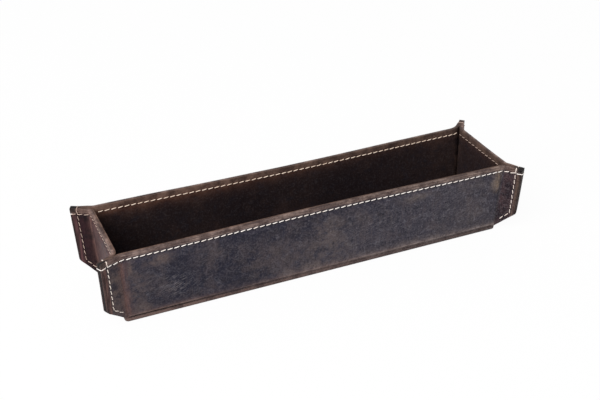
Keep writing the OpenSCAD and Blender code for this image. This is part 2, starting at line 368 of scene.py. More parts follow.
def join(name, objs):
    deselect()
    for obj in objs:
        obj.select_set(True)
    bpy.context.view_layer.objects.active = objs[0]
    bpy.ops.object.join()
    objs[0].name = name
    objs[0].data.name = name
    return objs[0]


def select_in_edit(obj, kind, wanted):
    """Selects the faces or edges that the test picks, in edit mode."""
    bpy.ops.mesh.select_mode(type=kind)
    bpy.ops.mesh.select_all(action="DESELECT")
    mesh = bmesh.from_edit_mesh(obj.data)
    for element in {"EDGE": mesh.edges, "FACE": mesh.faces}[kind]:
        element.select_set(wanted(element))
    mesh.select_flush_mode()
    bmesh.update_edit_mesh(obj.data)


# Leather sheets

def half_stations(wall, side):
    """Stations from mid-wall to the ear's edge on one side, each a column of the folded sheet."""
    count = round(fold_start(wall, side, RIM_HEIGHT) / (STITCH / STITCH_COLUMNS))
    folds = [1 + i / FOLD_COLUMNS for i in range(1, FOLD_COLUMNS + 1)]
    short = [EAR_CORNER * (1 - math.sin(math.radians(angle))) for angle in CORNER_ANGLES]
    corner = [abs(ear_u(wall, side, FOOT, EAR_LENGTH - run)) for run in short]
    wings = [2 + i / WING_COLUMNS for i in range(1, WING_COLUMNS)]
    wings = [u for u in wings if u < corner[0] - COLUMN_ROOM]
    return [i / count for i in range(count + 1)] + folds + wings + corner


def wall_stations(wall):
    return [-u for u in reversed(half_stations(wall, -1)[1:])] + half_stations(wall, 1)


def cut_blank(name, stations, heights):
    """A flat sheet of leather with a column of faces between stations and a row between heights."""
    deselect()
    bpy.ops.mesh.primitive_grid_add(
        x_subdivisions=len(stations) - 1, y_subdivisions=len(heights) - 1, size=2)
    sheet = bpy.context.object
    sheet.name = name
    sheet.data.uv_layers[0].name = "blank"
    return sheet


def fold_blank(sheet, wall, stations, heights, face, wear_and_painted_light):
    """Folds a flat sheet into a wall with its two wings, and marks where its finish is rubbed and where
    light and shade are painted.
    """
    mesh = sheet.data
    rows = len(heights)
    columns = len(stations)
    keep = heights[0] + CUT_ROWS
    flat = []
    marks = {name: [] for name in ZONES}
    group = sheet.vertex_groups.new(name="pressed")
    for vertex in mesh.vertices:
        u = stations[round((vertex.co.x + 1) / 2 * (columns - 1))]
        z = heights[round((vertex.co.y + 1) / 2 * (rows - 1))]
        low = max(lower_edge(wall, u), heights[0])
        if z < keep:
            z = low + (keep - low) * (z - heights[0]) / (keep - heights[0])
        thin = pressed(u)
        vertex.co = place(wall, u, z, face(wall, u, z) * thin)
        group.add([vertex.index], thin, "REPLACE")
        flat.append((flat_reach(wall, u, z), z))
        worn_and_painted_light = wear_and_painted_light(wall, u, z)
        for name in ZONES:
            marks[name].append(worn_and_painted_light.get(name, 0.0))
    for loop in mesh.loops:
        mesh.uv_layers["blank"].data[loop.index].uv = flat[loop.vertex_index]
    for name, values in marks.items():
        mesh.attributes.new(name, "FLOAT", "POINT").data.foreach_set("value", values)


def thicken(sheet, thickness, edge_round):
    """Gives a folded sheet its thickness inward, and rounds its cut edges a little."""
    apply_modifier(sheet, "SOLIDIFY", thickness=thickness, offset=-1, use_even_offset=False,
                   material_offset_rim=1, vertex_group="pressed")
    apply_modifier(sheet, "BEVEL", width=edge_round, segments=2, limit_method="ANGLE",
                   angle_limit=CUT_ANGLE, harden_normals=False)
    take(sheet)
    bpy.ops.object.mode_set(mode="EDIT")
    bpy.ops.mesh.select_all(action="SELECT")
    bpy.ops.mesh.normals_make_consistent(inside=False)
    bpy.ops.object.mode_set(mode="OBJECT")


def ripple(wall, u, z):
    """Slight unevenness of hand-folded leather, different on each wall."""
    spot = Vector((flat_reach(wall, u, z) / RIPPLE_LENGTH, z / RIPPLE_HEIGHT, 7.3 * wall + 1.7))
    return RIPPLE_DEPTH * noise.noise(spot)


def seam_pull(distance, along, depth):
    """The leather is drawn in along a seam, and most where the thread goes through."""
    hole = 0.7 + 0.3 * math.cos(2 * math.pi * along / STITCH)
    return -depth * hole * band(distance, 0.0, PULL_HALF)


def ear_seam_distance(wall, u, z):
    """Distance to the ear seam, and how far along it, on a wing."""
    reach = ear_reach(wall, u, z)
    upright = abs(reach - EAR_SEAM)
    slanted = abs(z - low_seam(reach)) / CUT_STRETCH
    if z > low_seam(reach) - THREAD / 2 and upright < slanted:
        return upright, z
    if SEAM_STOP < reach < EAR_SEAM:
        return slanted, reach
    return 1.0, 0.0


def outer_face(wall, u, z):
    """How far the outer leather's face lies from the tray's inner face."""
    step = WALL_OUT - WING_OUT
    over_board = 1 - grow(abs(u), start=1, over=0.5)
    if z < CREASE_TOP:
        form = step - CREASE_DEPTH * (1 - grow(z, CREASE, CREASE_TOP - CREASE))
    else:
        form = step * (1 - grow(z, STEP_LOW, STEP_RUN))
    tuck = {LEFT: LEFT_TUCK, RIGHT: RIGHT_TUCK}.get(wall, CREASE_DEPTH) - CREASE_DEPTH
    form -= tuck * (1 - grow(z, FOOT, TUCK_HEIGHT))
    pull = seam_pull(z - RIM_SEAM, flat_reach(wall, u, z), OUTER_PULL)
    if abs(u) > 2:
        pull += seam_pull(*ear_seam_distance(wall, u, z), OUTER_PULL)
    loose = grow(z, CREASE_TOP, RIPPLE_START)
    return WING_OUT + form * over_board + pull + ripple(wall, u, z) * loose


def inner_face(wall, u, z):
    """How far the lining's outer face lies from the tray's inner face, curved in at the floor."""
    low = max(0.0, FLOOR_TOP + FLOOR_ROUND - z) / FLOOR_ROUND
    curve = FLOOR_ROUND * (1 - math.sqrt(max(0.0, 1 - min(low, 1.0) ** 2)))
    free = 1 - grow(abs(u), start=0.95, over=0.5)
    pull = -seam_pull(z - RIM_SEAM, flat_reach(wall, u, z), LINING_PULL) * free
    return LINING_OUT - curve * (1 - grow(abs(u), start=1, over=1)) + pull


def patch(places, wall, flat, z):
    """How strongly a spot lies in one of a few soft patches on the long walls."""
    if not is_long(wall):
        return 0.0
    return max(strength * math.exp(-((flat - x) / half) ** 2 - ((z - y) / tall) ** 2)
               for x, y, half, tall, strength in places)


def under_rim_seam(z):
    """Painted shade: the dark line just below the rim seam."""
    return band(z, centre=RIM_SEAM - 0.0003, width=0.0005)


def wing_wear(wall, u):
    """How much of the ears' own finish the outer leather has, from within the corner fold outward."""
    share = grow(abs(u), start=1.35, over=0.5)
    if at_back_right(wall, u):
        return share * BACK_RIGHT_WING
    return share * FRONT_LEFT_WING if wall == FRONT and at_left(wall, u) else share


def fold_rub_and_highlight(wall, u, z):
    """Where the outer leather is rubbed by a corner fold: broadly at the left, and at the right before the
    fold's upper part; inside the right folds a thin line is a painted highlight."""
    past = abs(flat_reach(wall, u, z)) - fold_start(wall, u, z)
    bend = bend_radius(wall, u, z) * turn(wall, u, z)
    if at_left(wall, u):
        return 0.8 * band(past, centre=bend * 0.4, width=0.0026)
    upper = grow(z, start=0.55 * RIM_HEIGHT, over=0.2 * RIM_HEIGHT)
    # At the right: a rubbed patch before the fold's upper part, and a thin painted highlight inside the fold
    return max(upper * band(past, centre=-0.0014, width=0.0017),
               0.4 * band(past, centre=bend * 0.3, width=0.0005))


def painted_crease_shade(wall, u, z):
    """Painted shade: the dark line in the crease above the bead, which fades along the front wall."""
    dark = band(z, centre=CREASE - 0.0001, width=0.0004) * (1 - grow(abs(u), start=1.1, over=0.2))
    if wall == FRONT:
        dark *= 1 - 0.65 * grow(flat_reach(wall, u, z), start=-0.08, over=0.03)
    return dark


def outer_wear_and_painted_light(wall, u, z):
    """How far each zone of the outer leather's walls reaches: the band over the rim seam, the rubbed foot
    with its painted highlight above the crease, the corner folds with a painted highlight line at the right,
    the ears, the strip outside the ear seam, the painted shade in the creases and below the rim seam, the
    dark ear edges and tips, the end walls, and the rubbed and the scuffed places."""
    flat = flat_reach(wall, u, z)
    wing = wing_wear(wall, u)
    rim = grow(z, start=RIM_SEAM - 0.0001, over=0.0015)
    # The foot's paler band above the crease: partly rubbed leather, partly a painted highlight at the
    # crease's top
    over_crease = 0.7 * math.exp(-max(0.0, z - CREASE_TOP) / 0.0012)
    foot = max(over_crease, band(z, centre=CREASE_TOP, width=0.0006)) * (1 - wing)
    strip = 0.0
    pale = 0.0
    if abs(u) > 2:
        past_seam = ear_reach(wall, u, z) - EAR_SEAM
        strip = grow(past_seam, start=0.0004, over=0.0008)
        pale = band(past_seam, centre=0.0017, width=0.0005) * (1 - rim)
    ear_edge = 0.7 * wing * grow(abs(u), start=2.82, over=0.08)
    tip = strip * rim * TIP_DARK[at_left(wall, u), at_front(wall, u)]
    return {"rim": rim, "foot": foot, "fold": fold_rub_and_highlight(wall, u, z), "wing": wing, "strip": strip,
            "shade": max(painted_crease_shade(wall, u, z), 0.5 * under_rim_seam(z), ear_edge, tip),
            "end": 0.0 if is_long(wall) else 1.0, "rub": max(patch(RUBBED, wall, flat, z), pale),
            "scuff": patch(SCUFFED, wall, flat, z)}


def lining_wear_and_painted_shade(wall, u, z):
    """How far each zone of the lining's walls reaches: the rubbed rim, the corner folds, the ears, the
    painted shade in a line below the rim seam and the dark ears, and the brown band that fades below the
    seam."""
    away = abs(u)
    wing = grow(away, start=1.5, over=0.5) * (BACK_RIGHT_LINING if at_back_right(wall, u) else 1.0)
    return {"rim": grow(z, start=RIM_SEAM - 0.0012, over=0.0024), "wing": wing,
            "fold": 0.6 * band(away, centre=1.5, width=0.4),
            "shade": max(0.4 * under_rim_seam(z), wing * grow(away, start=2.3, over=0.3)),
            "rub": math.exp(-max(0.0, RIM_SEAM - z) / 0.0022) * (1 - wing)}


def mark_plain(mesh, **zones):
    """Gives a flat piece one value for each zone, and its own plan as the blank."""
    mesh.uv_layers[0].name = "blank"
    for loop in mesh.loops:
        point = mesh.vertices[loop.vertex_index].co
        mesh.uv_layers["blank"].data[loop.index].uv = (point.x, point.y)
    for name in ZONES:
        values = [zones.get(name, 0.0)] * len(mesh.vertices)
        mesh.attributes.new(name, "FLOAT", "POINT").data.foreach_set("value", values)


def start_plate(middle, size):
    """A plain block at its size and place, left in edit mode to be shaped."""
    deselect()
    bpy.ops.mesh.primitive_cube_add(size=1, location=middle)
    plate = bpy.context.object
    plate.scale = size
    bpy.ops.object.transform_apply(location=True, rotation=True, scale=True)
    bpy.ops.object.mode_set(mode="EDIT")
    return plate


def is_upright(edge):
    return abs(edge.verts[0].co.z - edge.verts[1].co.z) > LINING_THICK / 2


def lies_at(edge, z):
    return all(abs(vertex.co.z - z) < 1e-6 for vertex in edge.verts)


def round_edges(plate, wanted, radius, segments):
    """Rounds the edges that the test picks."""
    select_in_edit(plate, "EDGE", wanted)
    bpy.ops.mesh.bevel(offset=radius, segments=segments, profile=0.5)


def press_base():
    """The base of the outer leather: a plate with a rounded bead round its edge."""
    base = start_plate(((LEFT_TUCK - RIGHT_TUCK) / 2, 0, BEAD_TOP / 2),
                       (BASE_LENGTH - LEFT_TUCK - RIGHT_TUCK, BASE_WIDTH, BEAD_TOP))
    round_edges(base, is_upright, BEAD_CORNER, 10)
    round_edges(base, lambda edge: lies_at(edge, 0.0), BEAD_LOW_ROUND, 4)
    round_edges(base, lambda edge: lies_at(edge, BEAD_TOP), BEAD_TOP_ROUND, 4)
    bpy.ops.object.mode_set(mode="OBJECT")
    mark_plain(base.data, bead=1.0)
    return base


def lay_floor():
    """The lining's floor, set between the walls."""
    inset = WALL_OUT - LINING_OUT
    floor = start_plate((0, 0, (FLOOR_LOW + FLOOR_TOP) / 2),
                        (BASE_LENGTH - 2 * inset, BASE_WIDTH - 2 * inset, LINING_THICK))
    round_edges(floor, is_upright, BASE_CORNER - inset, 6)
    bpy.ops.object.mode_set(mode="OBJECT")
    mark_plain(floor.data)
    return floor


def fold_walls(label, heights, face, wear_and_painted_light, thickness, edge_round):
    """The four flaps of one leather, each cut, folded up and given its thickness."""
    flaps = []
    for wall in range(4):
        stations = wall_stations(wall)
        flap = cut_blank(WALL_NAMES[wall] + label, stations, heights)
        fold_blank(flap, wall, stations, heights, face, wear_and_painted_light)
        thicken(flap, thickness, edge_round)
        flaps.append(flap)
    return flaps


def fold_outer_leather():
    base = press_base()
    levels = (FOOT, CREASE_TOP + 0.0006, STEP_LOW - 0.0004, RIM_SEAM + OVER_SEAM, RIM_HEIGHT)
    heights = steps(levels, (FOOT_ROW, OUTER_ROW, SEAM_ROW, RIM_ROW))
    flaps = fold_walls("_outer_flap", heights, outer_face, outer_wear_and_painted_light, OUTER_THICK, OUTER_EDGE_ROUND)
    return join("folded_outer_leather", [base] + flaps)


def fold_lining():
    floor = lay_floor()
    levels = (FLOOR_LOW, FLOOR_TOP + 0.0018, RIM_SEAM - 0.002, RIM_SEAM + OVER_SEAM, RIM_HEIGHT)
    heights = steps(levels, (FOOT_ROW, LINING_ROW, SEAM_ROW, RIM_ROW))
    flaps = fold_walls("_lining_flap", heights, inner_face, lining_wear_and_painted_shade, LINING_THICK, LINING_EDGE_ROUND)
    return join("folded_lining", [floor] + flaps)


# Stitching

# Where the thread's middle lies on the leather outside and inside
THREAD_RAISED = WING_OUT + THREAD * 0.12
THREAD_INSIDE = LINING_IN - THREAD * 0.1

# How thick the thread shows: along the long rims, down the ears, along the end rims, on the ears' far side
# and round the edges, and over the front ears' top
FULL_THREAD = THREAD * 0.54
EAR_THREAD = THREAD * 0.52
THIN_THREAD = THREAD * 0.46
TOP_THREAD = THREAD * 0.75

# A stitch's slant and how far it strays from it, its straight share, and the run, drop and size of the two
# steps in which each end dips
SLANT = math.radians(8)
STRAY = 0.05
STRAIGHT_SHARE = 0.52
DIPS = ((0.15, 0.06, 0.88), (0.09, 0.2, 0.62))

# How far from the ear's cut edges the rim seam and the ear seam start, and the room a thread inside the
# corner keeps from the next wall
RIM_SEAM_ROOM = 0.0003
EAR_SEAM_ROOM = 0.0008
CORNER_ROOM = 0.00015

# A thread round a cut edge: how far before the edge it comes up and turns, how far below the raised thread
# it lies where it comes up, at the edge and past it, and how deep it dips on the front ears' top
WRAP_START = 0.001
WRAP_TURN = 0.0001
START_DEPTH = 0.0003
EDGE_DEPTH = 0.0004
DIP_DEPTH = 0.0009
FRONT_DIP = 0.0005

# Points on each half of a rim seam, and on the upright and the slanted leg of an ear seam
RIM_POINTS = 120
UPRIGHT_POINTS = 30
SLANTED_POINTS = 12


def one_stitch(length, thick):
    """A plump stitch along X whose two ends dip into the leather; Z points out of the leather."""
    deselect()
    middle = length * STRAIGHT_SHARE
    bpy.ops.mesh.primitive_cylinder_add(
        vertices=8, radius=thick / 2, depth=middle, end_fill_type="NGON", rotation=(0, math.pi / 2, 0))
    stitch = bpy.context.object
    bpy.ops.object.transform_apply(location=True, rotation=True, scale=True)
    bpy.ops.object.mode_set(mode="EDIT")
    for side in (-1, 1):
        centre = Vector((side * middle / 2, 0, 0))
        for run, drop, size in DIPS:
            select_in_edit(stitch, "FACE", lambda face: face.normal.x * side > 0.9)
            move = Vector((side * run * length, 0, -drop * thick))
            centre += move
            bpy.ops.mesh.extrude_region_move(TRANSFORM_OT_translate={"value": move})
            bpy.ops.transform.resize(value=(1, size, size), center_override=centre)
    bpy.ops.object.mode_set(mode="OBJECT")
    bpy.ops.object.shade_smooth()
    return stitch


def seam_line(points, normals):
    """A seam's length, and a way to read the point and normal at a distance along it."""
    lengths = [0.0]
    for a, b in zip(points, points[1:]):
        lengths.append(lengths[-1] + (b - a).length)

    def at(length):
        i = 0
        while i < len(lengths) - 2 and lengths[i + 1] < length:
            i += 1
        share = (length - lengths[i]) / (lengths[i + 1] - lengths[i])
        return points[i].lerp(points[i + 1], share), normals[i].lerp(normals[i + 1], share).normalized()

    return lengths[-1], at


def sew(points, normals, seed, thick):
    """Copies one stitch along a seam at an even pitch."""
    total, at = seam_line(points, normals)
    count = max(1, round((total + STITCH_GAP) / STITCH))
    pitch = (total + STITCH_GAP) / count
    stitch = one_stitch(pitch - STITCH_GAP, thick)
    copies = []
    for i in range(count):
        start, _ = at(i * pitch)
        end, _ = at((i + 1) * pitch - STITCH_GAP)
        middle, normal = at((i + 0.5) * pitch - STITCH_GAP / 2)
        along = (end - start).normalized()
        across = normal.cross(along).normalized()
        normal = along.cross(across)
        stray = STRAY * noise.noise(Vector((i * 1.37, seed, 0.5)))
        tilt = Matrix.Rotation(SLANT + stray, 4, "Z")
        on_leather = Matrix((along, across, normal)).transposed().to_4x4()
        copy = stitch.copy()
        copy.data = stitch.data.copy()
        copy.data.transform(Matrix.Translation(middle) @ on_leather @ tilt)
        bpy.context.collection.objects.link(copy)
        copies.append(copy)
    bpy.data.objects.remove(stitch)
    return copies


def wrap(points, thick):
    """A length of thread that goes round a cut edge."""
    curve = bpy.data.curves.new("edge_wrap", "CURVE")
    curve.dimensions = "3D"
    curve.bevel_depth = thick / 2
    curve.bevel_resolution = 2
    curve.use_fill_caps = True
    spline = curve.splines.new("POLY")
    spline.points.add(len(points) - 1)
    for target, point in zip(spline.points, points):
        target.co = (*point, 1)
    obj = bpy.data.objects.new("edge_wrap", curve)
    bpy.context.collection.objects.link(obj)
    take(obj)
    bpy.ops.object.convert(target="MESH")
    wrapped = bpy.context.object
    bpy.ops.object.shade_smooth()
    return wrapped


def outward(wall, u, z):
    """Direction out of a wall at a spot."""
    return (place(wall, u, z, 0.002) - place(wall, u, z, 0.001)).normalized()


def seam_on(wall, path, off):
    """Points and normals of a seam on the leather, outside or inside."""
    facing = 1 if off > LINING_OUT else -1
    points = [place(wall, u, z, off * pressed(u)) for u, z in path]
    normals = [outward(wall, u, z) * facing for u, z in path]
    return points, normals


def rim_path(left_u, right_u):
    return [((-left_u if i < 0 else right_u) * i / RIM_POINTS, RIM_SEAM)
            for i in range(-RIM_POINTS, RIM_POINTS + 1)]


def corner_room(wall, side):
    """The last station at which a thread inside the corner still clears the lining of the next wall."""
    room = THREAD + CORNER_ROOM
    bend = bend_radius(wall, side, RIM_SEAM)
    angle = turn(wall, side, RIM_SEAM)
    in_fold = bend * (1 - math.cos(angle))
    if room < in_fold:
        return 2 - math.acos(1 - room / bend) / angle
    return 1 - (room - in_fold) / math.sin(angle) / fold_start(wall, side, RIM_SEAM)


def sew_rim(wall):
    """The rim seam of one wall: the needle thread outside and the bobbin thread inside."""
    name = WALL_NAMES[wall]
    thick = FULL_THREAD if is_long(wall) else THIN_THREAD
    ends = [ear_u(wall, side, RIM_SEAM, EAR_LENGTH - RIM_SEAM_ROOM) for side in (-1, 1)]
    copies = sew(*seam_on(wall, rim_path(*ends), THREAD_RAISED), wall, thick)
    if is_long(wall):
        copies += [edge_wrap(wall, side) for side in (-1, 1)]
    outside = join(name + "_rim_outer_stitches", copies)
    ends = [side * corner_room(wall, side) for side in (-1, 1)]
    copies = sew(*seam_on(wall, rim_path(*ends), THREAD_INSIDE), wall + 10, thick)
    return outside, join(name + "_rim_inner_stitches", copies)


def edge_wrap(wall, side):
    """The rim thread round the cut edge of an ear."""
    near, turned, far = (ear_u(wall, side, RIM_SEAM, EAR_LENGTH + past)
                         for past in (-WRAP_START, -WRAP_TURN, THREAD * 0.2))
    raised = THREAD_RAISED * pressed(3)
    half = [(near, raised - START_DEPTH), (turned, raised), (far, raised - EDGE_DEPTH)]
    over = half + [(far, 0.0)] + [(u, -off) for u, off in reversed(half)]
    return wrap([place(wall, u, RIM_SEAM, off) for u, off in over], THIN_THREAD)


def top_wrap(wall, side):
    """The ear thread over the ear's top edge, which dips between the front ears' two leathers."""
    u = ear_u(wall, side, RIM_HEIGHT, EAR_SEAM)
    raised = THREAD_RAISED * pressed(u)
    crest = THREAD * 0.05
    dip = -FRONT_DIP if wall == FRONT else crest
    half = [(-WRAP_START, raised - START_DEPTH), (-WRAP_TURN, raised), (crest, raised - EDGE_DEPTH),
            (dip, raised - DIP_DEPTH)]
    over = half + [(lift, -off) for lift, off in reversed(half)]
    points = [place(wall, u, RIM_HEIGHT, off) + Vector((0, 0, lift)) for lift, off in over]
    return wrap(points, TOP_THREAD if wall == FRONT else THIN_THREAD)


def ear_path(wall, side):
    """Down beside the ear's edge, then along its slanted lower cut."""
    top = RIM_HEIGHT - EAR_SEAM_ROOM
    corner = low_seam(EAR_SEAM)
    path = []
    for i in range(UPRIGHT_POINTS + 1):
        z = top + (corner - top) * i / UPRIGHT_POINTS
        path.append((ear_u(wall, side, z, EAR_SEAM), z))
    for i in range(1, SLANTED_POINTS + 1):
        reach = EAR_SEAM + (SEAM_STOP - EAR_SEAM) * i / SLANTED_POINTS
        z = low_seam(reach)
        path.append((ear_u(wall, side, z, reach), z))
    return path


def sew_ear(wall, side, name):
    """The ear seam: the needle thread on the long wall's wing, the bobbin thread on the end wall's wing."""
    seed = wall + side
    copies = sew(*seam_on(wall, ear_path(wall, side), THREAD_RAISED), seed + 20, EAR_THREAD)
    copies.append(top_wrap(wall, side))
    outside = join(name + "_ear_needle_stitches", copies)
    other = (wall + side) % 4
    copies = sew(*seam_on(other, ear_path(other, -side), THREAD_RAISED), seed + 30, THIN_THREAD)
    return outside, join(name + "_ear_bobbin_stitches", copies)


# Finishes

# Half of the stretch at the tray's middle over which the leathers' colours go from left to right
FADE_REACH = 0.06

# Colour of the painted shade in the creases and below the rim seam, and of the dark ear edges and tips, in
# both leathers
CREASE_COLOUR = (26, 22, 22)


def shade(r, g, b):
    """A screen colour, 0 to 255, as the linear colour that a shader takes."""
    return tuple(c / 12.92 if c <= 0.04045 else ((c + 0.055) / 1.055) ** 2.4
                 for c in (r / 255, g / 255, b / 255)) + (1.0,)


class Nodes:
    """The nodes of a material or of the world, added one by one and linked by name."""

    def __init__(self, owner):
        owner.use_nodes = True
        self.owner = owner
        self.tree = owner.node_tree
        self.tree.nodes.clear()
        self.column = 0

    def add(self, kind, inputs=None, **settings):
        node = self.tree.nodes.new(kind)
        node.location = (self.column * 180, 0)
        self.column += 1
        for key, value in settings.items():
            setattr(node, key, value)
        for key, value in (inputs or {}).items():
            if isinstance(value, bpy.types.NodeSocket):
                self.tree.links.new(value, node.inputs[key])
            else:
                node.inputs[key].default_value = value
        return node

    def between(self, value, low, high, to_low=0.0, to_high=1.0):
        node = self.add("ShaderNodeMapRange", {"Value": value, "From Min": low, "From Max": high,
                                               "To Min": to_low, "To Max": to_high})
        return node.outputs["Result"]

    def math(self, operation, a, b=0.0, c=0.0):
        node = self.add("ShaderNodeMath", {0: a, 1: b, 2: c}, operation=operation)
        return node.outputs["Value"]

    def times(self, a, b):
        return self.math("MULTIPLY", a, b)

    def mix(self, share, a, b, blend="MIX"):
        """A mix of two colours, each of them a socket or a screen colour."""
        a, b = (shade(*colour) if isinstance(colour, tuple) else colour for colour in (a, b))
        node = self.add("ShaderNodeMix", {0: share, 6: a, 7: b}, data_type="RGBA", blend_type=blend)
        return node.outputs[2]

    def surface(self, shader):
        self.add("ShaderNodeOutputMaterial", {"Surface": shader})
        return self.owner


class Finish(Nodes):
    """A material of the tray, with the piece's own coordinates and those of its flat blank."""

    def __init__(self, name):
        super().__init__(bpy.data.materials.new(name))
        coordinates = self.add("ShaderNodeTexCoord")
        self.solid = coordinates.outputs["Object"]
        self.blank = coordinates.outputs["UV"]

    def stretched(self, source, scale, turned=0.0):
        if turned:
            node = self.add("ShaderNodeMapping", {"Vector": source, "Rotation": (0, 0, turned)})
            source = node.outputs["Vector"]
        return self.add("ShaderNodeMapping", {"Vector": source, "Scale": scale}).outputs["Vector"]

    def clouds(self, source, scale, detail, rough=0.5):
        node = self.add("ShaderNodeTexNoise", {"Vector": source, "Scale": scale, "Detail": detail,
                                               "Roughness": rough})
        return node.outputs["Fac"]

    def hairlines(self, source, scale, width):
        """Thin curved scratches: where a soft noise crosses its middle value."""
        level = self.math("ABSOLUTE", self.math("SUBTRACT", self.clouds(source, scale, 2), 0.5))
        return self.between(level, width, 0.0)

    def mark(self, name):
        return self.add("ShaderNodeAttribute", attribute_name=name).outputs["Fac"]

    def bumped(self, colour, rough, shine, height, strength, depth):
        """The finished material: a colour with a roughness, a shine and a fine relief."""
        bump = self.add("ShaderNodeBump", {"Height": height, "Strength": strength, "Distance": depth})
        shader = self.add("ShaderNodeBsdfPrincipled", {
            "Base Color": colour, "Roughness": rough, "Specular IOR Level": shine,
            "Normal": bump.outputs["Normal"]})
        return self.surface(shader.outputs["BSDF"])


class Leather(Finish):
    """A leather, whose colours may change from the tray's left to its right."""

    def __init__(self, name):
        super().__init__(name)
        self.x = self.add("ShaderNodeSeparateXYZ", {"Vector": self.solid}).outputs["X"]
        self.toward_right = self.between(self.x, -FADE_REACH, FADE_REACH)

    def along(self, left, right):
        return self.mix(self.toward_right, left, right)

    def mottled(self, dark, warm, brown, pale, marks):
        """The ground: soft changes of colour, brown patches, pale smudges, upright streaks and specks."""
        solid, blank = self.solid, self.blank
        colour = self.mix(self.between(self.clouds(solid, 17, 3), 0.4, 0.6), dark, warm)
        patches = self.clouds(solid, 75, 8, 0.7)
        colour = self.mix(self.between(patches, 0.5, 0.68, 0.0, 0.75), colour, brown)
        blots = self.clouds(self.stretched(solid, (1, 1, 1.4), 0.6), 160, 6, 0.7)
        colour = self.mix(self.between(blots, 0.5, 0.34, 0.0, 0.48), colour, (28, 28, 36))
        smudges = self.clouds(self.stretched(blank, (120, 620, 1), 0.5), 1, 5, 0.65)
        smudged = self.times(self.between(smudges, 0.54, 0.74, 0.0, 0.4), marks)
        colour = self.mix(smudged, colour, pale)
        streaks = self.clouds(self.stretched(blank, (1300, 100, 1)), 1, 4, 0.6)
        streaked = self.times(self.between(self.clouds(solid, 30, 2), 0.4, 0.6, 0.3, 1.0), marks)
        light = self.times(self.between(streaks, 0.52, 0.7, 0.0, 0.6), streaked)
        colour = self.mix(light, colour, brown)
        deep = self.times(self.between(streaks, 0.5, 0.32, 0.0, 0.42), marks)
        colour = self.mix(deep, colour, (24, 22, 29))
        for scale, width, turned in ((110, 0.026, 0.7), (190, 0.04, -0.5)):
            lines = self.hairlines(self.stretched(blank, (0.7, 1.3, 1), turned), scale, width)
            here = self.between(self.clouds(solid, scale * 1.7, 2), 0.52, 0.64, 0.0, 0.4)
            colour = self.mix(self.times(lines, self.times(here, marks)), colour, pale)
        for scale, size, few in ((240, 0.13, 0.54), (450, 0.24, 0.48)):
            cells = self.add("ShaderNodeTexVoronoi", {"Vector": solid, "Scale": scale}).outputs["Distance"]
            here = self.between(self.clouds(solid, scale * 0.6, 2), few, few + 0.08, 0.0, 0.4)
            specks = self.times(self.between(cells, size, size * 0.4), self.times(here, marks))
            colour = self.mix(specks, colour, pale)
        return colour

    def waxed(self, colour, rough, fine):
        """The finished leather: fine grain over a colour, with a low waxy shine."""
        grain = self.clouds(self.solid, 1150, 4, 0.7)
        light = self.times(self.between(grain, 0.5, 0.7), fine)
        colour = self.mix(light, colour, (115, 110, 114))
        deep = self.times(self.between(grain, 0.5, 0.32), self.times(fine, 1.75))
        colour = self.mix(deep, colour, (110, 106, 110), "MULTIPLY")
        pebbles = self.clouds(self.solid, 380, 3)
        height = self.math("ADD", self.times(grain, 0.5), self.times(pebbles, 0.8))
        return self.bumped(colour, rough, shine=0.1, height=height, strength=0.45, depth=0.0003)


